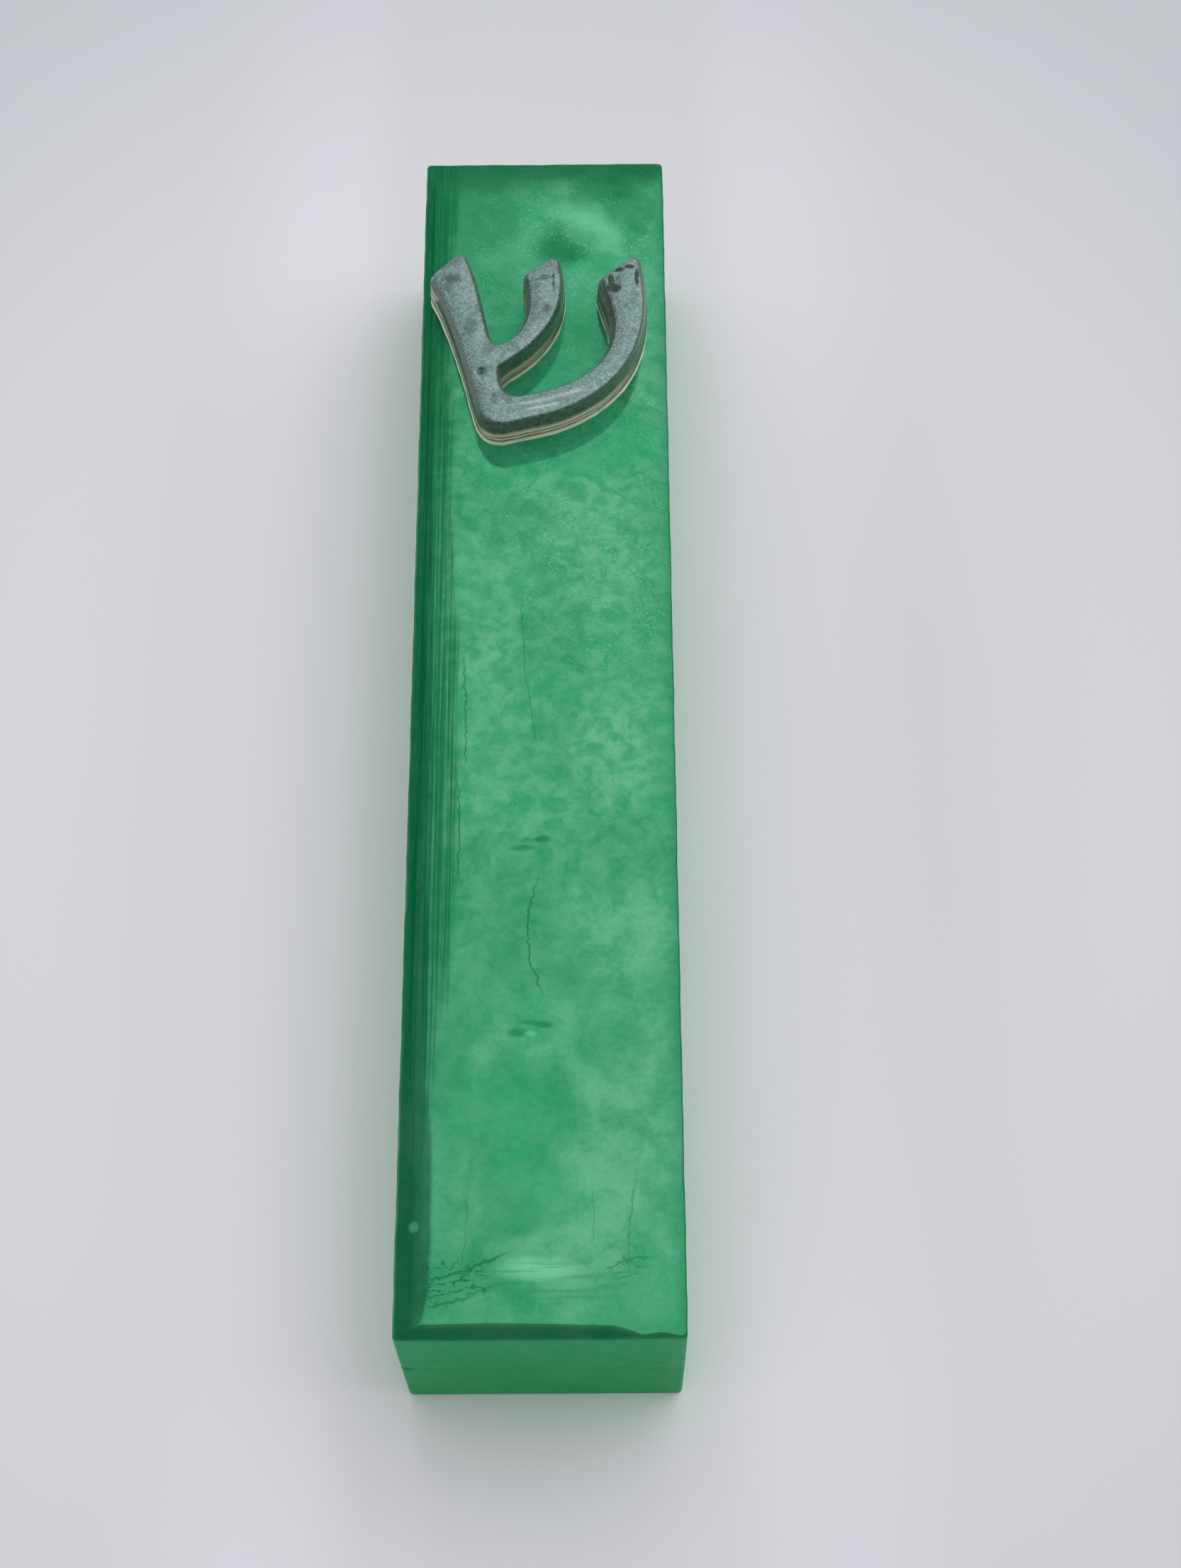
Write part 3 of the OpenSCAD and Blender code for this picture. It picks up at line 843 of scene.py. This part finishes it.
def flare():
    """How far the letter's foot stands outside its top: most on the left sides, least below."""
    left, down = np.clip(-outward(), 0, 1).T
    right = np.clip(outward()[:, 0], 0, 1)
    head = np.exp(-((OUTLINE[:, 0] - 5.8) / 2.0) ** 2 - ((OUTLINE[:, 1] - 40.5) / 3.0) ** 2)
    out = 0.15 + (0.33 + 0.3 * head) * left + 0.12 * right - 0.48 * down
    return np.convolve(np.concatenate([out[-6:], out, out[:6]]), np.full(13, 1 / 13), "valid")


def inside_far(points):
    """How far points inside the letter are from its outline."""
    a, b = OUTLINE, np.roll(OUTLINE, -1, axis=0)
    d = b - a
    rel = points[:, None, :] - a
    t = np.clip((rel * d).sum(-1) / (d * d).sum(-1), 0, 1)
    return np.linalg.norm(rel - t[..., None] * d, axis=-1).min(axis=1)


def interior(spacing, margin):
    """Points of a staggered grid that lie inside the letter, away from its outline."""
    low, high = OUTLINE.min(axis=0), OUTLINE.max(axis=0)
    rows = np.arange(low[1], high[1], spacing * 0.87)
    grid = np.array([(x + (k % 2) * spacing / 2, y) for k, y in enumerate(rows)
                     for x in np.arange(low[0], high[0], spacing)])
    grid = grid[in_loop(grid, OUTLINE) == 1]
    return grid[inside_far(grid) > margin]


def offsets_inside(*depths):
    """Points on inward offsets of the outline, without those that fold over each other."""
    kept = []
    for depth in depths:
        ring = grown(-depth)
        ring = ring[in_loop(ring, OUTLINE) == 1]
        ring = ring[inside_far(ring) > depth * 0.985]
        kept.append(ring[:: 1 + int(depth > 0.3)])
    return np.vstack(kept)


LETTER_TOP = SILVER_HIGH[2]
LETTER_EDGE = 0.35    # radius of the letter's soft top edge


def letter_height(points):
    """Height of the letter's soft-edged face."""
    far = inside_far(points)
    edge = np.clip(1 - far / LETTER_EDGE, 0, 1)
    crown = 0.1 * (1 - smooth(0.2, 1.3, far))
    pit = 0.25 * np.exp(-(((points[:, 0] + 5.9) / 0.35) ** 2 + ((points[:, 1] - 31.4) / 0.5) ** 2))
    chip = 0.22 * np.exp(-(((points[:, 0] - 7.0) / 0.4) ** 2 + ((points[:, 1] - 41.8) / 0.9) ** 2))
    return LETTER_TOP - LETTER_EDGE * (1 - np.sqrt(1 - edge ** 2)) * 0.9 - crown - pit - chip


def shin_silver():
    solid = Solid()
    inner = np.vstack([offsets_inside(0.04, 0.1, 0.18, 0.28, 0.42, 0.6), interior(0.36, 0.78)])
    brim = solid.ring(at_height(OUTLINE, letter_height(OUTLINE)))
    solid.fill(brim, inside=inner, height=letter_height)
    top, low = letter_height(OUTLINE), SILVER_LOW[2]
    rings = [solid.ring(at_height(grown(0.8 * flare() * share), top + (low - top) * share))
             for share in (0.35, 0.7, 1.0)]
    solid.tube([brim, *rings])
    solid.fill(rings[-1], up=False)
    return make_piece("shin_silver_face", solid.points, solid.faces, [silver_resin()], "case",
                      ["shin_silver_layer"], sharp=60)


def shin_clear():
    """The clear back of the letter, with two fine lips where its mould ended."""
    solid = Solid()
    low, high = CLEAR_LOW[2] - 0.03, CLEAR_HIGH[2] + 0.04
    # each ring: its share of the height, its share of the flare, and how far a lip stands out
    profile = [(1.0, 0.8, 0), (0.8, 0.86, 0), (0.5, 0.93, 0), (0.44, 0.95, 0), (0.41, 0.96, 0.05),
               (0.38, 0.96, 0.05), (0.35, 0.96, 0), (0.25, 0.98, 0), (0.22, 0.98, 0.04), (0.19, 0.98, 0.04),
               (0.16, 1.0, 0), (0.0, 1.0, 0)]
    rings = [solid.ring(at_height(grown(out * flare() + lip), low + (high - low) * share))
             for share, out, lip in profile]
    solid.tube(rings)
    solid.fill(rings[0])
    solid.fill(rings[-1], up=False)
    return make_piece("shin_clear_back", solid.points, solid.faces, [clear_resin()], "case",
                      ["shin_clear_layer"], sharp=50)


def shin_glue():
    """The bead of glue that squeezed out round the letter's foot, and what shows under its edge."""
    solid = Solid()
    round_it = np.arange(len(OUTLINE)) * OUTLINE_STEP
    swell = 0.04 * waves(round_it, 21, (11, 5, 2.3))
    loops = [(-0.45, 0.02), (-0.05, 0.06), (0.0, 0.16), (0.03 + swell, 0.15), (0.07 + swell, 0.08),
             (0.09 + swell, 0.0), (0.07, -0.03), (-0.45, -0.03)]
    rings = []
    for out, rise in loops:
        loop = grown(flare() + out)
        base = CASE_T - front_fall(*loop.T)
        rings.append(solid.ring(at_height(loop, (CASE_T if rise > 0.01 else base) + rise)))
    solid.tube([*rings, rings[0]])
    return make_piece("shin_glue_squeeze", solid.points, solid.faces, [glue()], "case",
                      ["shin_glue_bead"], sharp=60)


# ---------------------------------------------------------------- the back plate and its pads


def pad_box(node):
    low, high = cad_size(node)
    return (high[0] - low[0], high[1] - low[1]), ((low + high) / 2)[:2], low[2], high[2]


def back_plate():
    solid = Solid()
    low, high = PLATE_LOW[2], PLATE_HIGH[2]
    w, l = PLATE_HIGH[0] - PLATE_LOW[0], PLATE_HIGH[1] - PLATE_LOW[1]
    soft = 0.2
    steps = [(high, soft), (high - soft * 0.3, soft * 0.3), (high - soft, 0), (low + soft, 0),
             (low + soft * 0.3, soft * 0.3), (low, soft)]
    rings = [solid.ring(at_height(rounded_loop(w - 2 * i, l - 2 * i, 0.9 - i, along=24), z))
             for z, i in steps]
    solid.tube(rings)
    mouths, exits = [], []
    sink_d = SINK_R - SCREW_R
    for side in (-1, 1):
        centre = (0, side * SCREW_SPACING / 2)
        hole = [(SINK_R + 0.08, high), (SINK_R - 0.05, high - 0.12), (SCREW_R, high - sink_d),
                (SCREW_R, low + 0.1), (SCREW_R + 0.1, low)]
        loops = [solid.ring(at_height(circle_loop(r, centre), z)) for r, z in hole]
        solid.tube(loops[::-1])
        mouths.append(loops[0])
        exits.append(loops[-1])
    for node in ("foam_tape_upper", "foam_tape_lower"):
        (pw, pl), centre, _, pocket_z = pad_box(node)
        pocket = [(0.18, low), (0.1, low + 0.1), (0.1, pocket_z - 0.02), (0.05, pocket_z + 0.03)]
        loops = [solid.ring(at_height(rounded_loop(pw + 2 * g, pl + 2 * g, 0.8 + g, centre), z))
                 for g, z in pocket]
        solid.tube(loops)
        solid.fill(loops[-1], up=False)
        exits.append(loops[0])
    solid.fill(rings[0], mouths)
    solid.fill(rings[-1], exits, up=False)
    return make_piece("wall_plate", solid.points, solid.faces, [sanded_resin("sanded_plate")],
                      "back_plate", ["back_plate"], sharp=30)


def soft_slab(name, node, soft, bulge, material):
    """A thin pad with soft edges, whose sides may bulge."""
    solid = Solid()
    (w, l), centre, low, high = pad_box(node)
    middle = (low + high) / 2
    steps = [(high, soft), (high - soft * 0.4, soft * 0.2), (middle, -bulge),
             (low + soft * 0.4, soft * 0.2), (low, soft)]
    rings = []
    for z, inset in steps:
        loop = rounded_loop(w - 2 * inset - 2 * bulge, l - 2 * inset - 2 * bulge, 0.8, centre, along=12)
        rings.append(solid.ring(at_height(loop, z)))
    solid.fill(rings[0])
    solid.tube(rings)
    solid.fill(rings[-1], up=False)
    return make_piece(name, solid.points, solid.faces, [material], "back_plate", [node], sharp=50)


# ---------------------------------------------------------------- the scroll


def rolled(name, radii, thickness, turns, start, length, material, node, wobble, seed):
    """A sheet rolled round the scroll's axis, from the radius of its inner edge to its outer one's."""
    around, along = max(48, round(turns * 56)), 60
    t = np.linspace(0, 1, around)
    angle = start + 2 * np.pi * turns * t
    radius = radii[0] + (radii[1] - radii[0]) * t
    ys = np.linspace(-0.5, 0.5, along)
    side = []
    for out in (thickness / 2, -thickness / 2):
        grid = []
        for v in ys:
            dent = wobble * waves(t * turns + 0.7 * v, seed, (0.9, 0.37)) * (0.4 + 1.2 * abs(v))
            r = radius + out + dent
            trim = 1 - 0.002 * (1 + waves(t * 40, seed + 1, (9, 4)))
            grid.append(np.column_stack([r * np.cos(angle), v * length * trim, SCROLL_Z + r * np.sin(angle)]))
        side.append(np.array(grid))
    outer, inner = side
    points = np.concatenate([outer.reshape(-1, 3), inner.reshape(-1, 3)])
    index = np.arange(along * around).reshape(along, around)
    shift = along * around
    quads = np.column_stack([index[:-1, :-1].ravel(), index[1:, :-1].ravel(),
                             index[1:, 1:].ravel(), index[:-1, 1:].ravel()])
    rim = rim_of(index)
    after = np.roll(rim, -1)
    edges = np.column_stack([rim, after, after + shift, rim + shift])
    faces = np.concatenate([quads, shift + quads[:, ::-1], edges])
    return make_piece(name, points, faces.tolist(), [material], "scroll", [node], sharp=45)


case_body()
shin_silver()
shin_clear()
shin_glue()
back_plate()
FOAM, LINER = foam(), liner()
for end in ("upper", "lower"):
    pad = soft_slab(f"foam_pad_{end}", f"foam_tape_{end}", 0.12, 0.04, FOAM)
    soft_slab(f"peel_liner_{end}", f"tape_liner_{end}", 0.02, 0.0, LINER)
parchment_l, film_l = SCROLL_HIGH[1] - SCROLL_LOW[1], FILM_HIGH[1] - FILM_LOW[1]
scroll = rolled("parchment_roll", (ROLL_R, ROLL_R + ROLL_PITCH * ROLL_TURNS), PARCHMENT_T, ROLL_TURNS,
                0.0, parchment_l, parchment(), "scroll_parchment", 0.02, 31)
rolled("film_wrap", (FILM_HIGH[0] - 0.12, FILM_HIGH[0] - 0.03), FILM_T, FILM_TURNS, math.radians(120),
       film_l, film(), "scroll_film", 0.0, 33)

# ---------------------------------------------------------------- floor, light and camera


def floor():
    mesh = bpy.data.meshes.new("table_top")
    reach, drop = 3.0, -0.00006
    corners = [(-reach, -reach), (reach, -reach), (reach, reach), (-reach, reach)]
    mesh.from_pydata([(x, y, drop) for x, y in corners], [], [(0, 1, 2, 3)])
    look = Look("pale_table", Roughness=0.6, Specular_IOR_Level=0.3)
    grain = look.noise(0.012, 4.0)
    away = look.vector("LENGTH", look.vector("MULTIPLY", look.place, (1.0, 0.85, 1.0)))
    look.tone = look.mix(grain, (0.85, 0.8, 0.845), (0.87, 0.83, 0.87))
    # painted light: lighter strips along both sides of the case, and a faint painted green bounce light close
    # to it
    beside = look.math("ABSOLUTE", look.x)
    strips = look.product(look.span(beside, 15.0, 22.0), look.span(beside, 26.0, 40.0, 0.9, 0.0))
    look.tint(strips, (0.96, 0.88, 0.955))
    near = look.product(look.span(look.x, -12.0, 12.0, 0.5, 1.0), look.span(beside, 12.0, 16.0, 1.0, 0.0),
                        look.span(look.math("ABSOLUTE", look.y), 60.0, 66.0, 0.5, 0.0))
    look.tint(near, (0.76, 0.86, 0.81))
    # painted shade: the floor darker and bluer away from the middle
    look.tint(look.span(away, 45.0, 115.0), (0.665, 0.685, 0.715))
    look.set(Base_Color=look.tone)
    mesh.materials.append(look.material)
    placed("table_top", mesh)


def room():
    """A soft room: a bright ceiling, widest to the right and behind, and dimmer walls."""
    world = bpy.data.worlds.new("soft_room")
    world.use_nodes = True
    nodes = Nodes(world.node_tree)
    towards = nodes.add("ShaderNodeTexCoord").outputs["Generated"]
    dx, dy, dz = nodes.split(towards)
    height = nodes.math("MAXIMUM", dz, 0.05)
    right, back = nodes.math("DIVIDE", dx, height), nodes.math("DIVIDE", dy, height)
    glow = nodes.product(nodes.span(right, -0.34, -0.12), nodes.span(right, 1.3, 2.2, 1.0, 0.0),
                         nodes.span(back, -0.35, -0.12), nodes.span(back, 0.85, 1.5, 1.0, 0.0),
                         nodes.span(dz, 0.02, 0.2))
    back_light = world.node_tree.nodes["Background"]
    back_light.inputs["Color"].default_value = (0.96, 0.98, 1.0, 1)
    walls = nodes.product(nodes.span(dz, 0.75, 0.4), nodes.span(dx, 0.3, -0.6, 0.8, 2.0),
                          nodes.span(dy, -0.5, 0.2, 0.5, 1.0), WALLS)
    nodes.put(nodes.plus(nodes.math("MULTIPLY_ADD", glow, GLOW, DIM), walls),
              back_light.inputs["Strength"])
    bpy.context.scene.world = world


def camera():
    """A view from above the near end, looking down the case."""
    data = bpy.data.cameras.new("camera")
    data.lens, data.sensor_width = LENS, 36.0
    made = placed("camera", data)
    made.location = Vector(VIEW_FROM) * MM
    made.rotation_euler = Euler([math.radians(a) for a in VIEW_TURNS])
    bpy.context.scene.camera = made


DIM, GLOW, WALLS = 0.3, 1.25, 0.55       # the room's light everywhere, its ceiling and its walls
LENS = 56.64
VIEW_FROM = (5.29, -106.44, 218.9)       # millimetres
VIEW_TURNS = (25.865, 0.409, -0.27)      # degrees
floor()
room()
camera()
bpy.context.scene.view_settings.view_transform = "Standard"
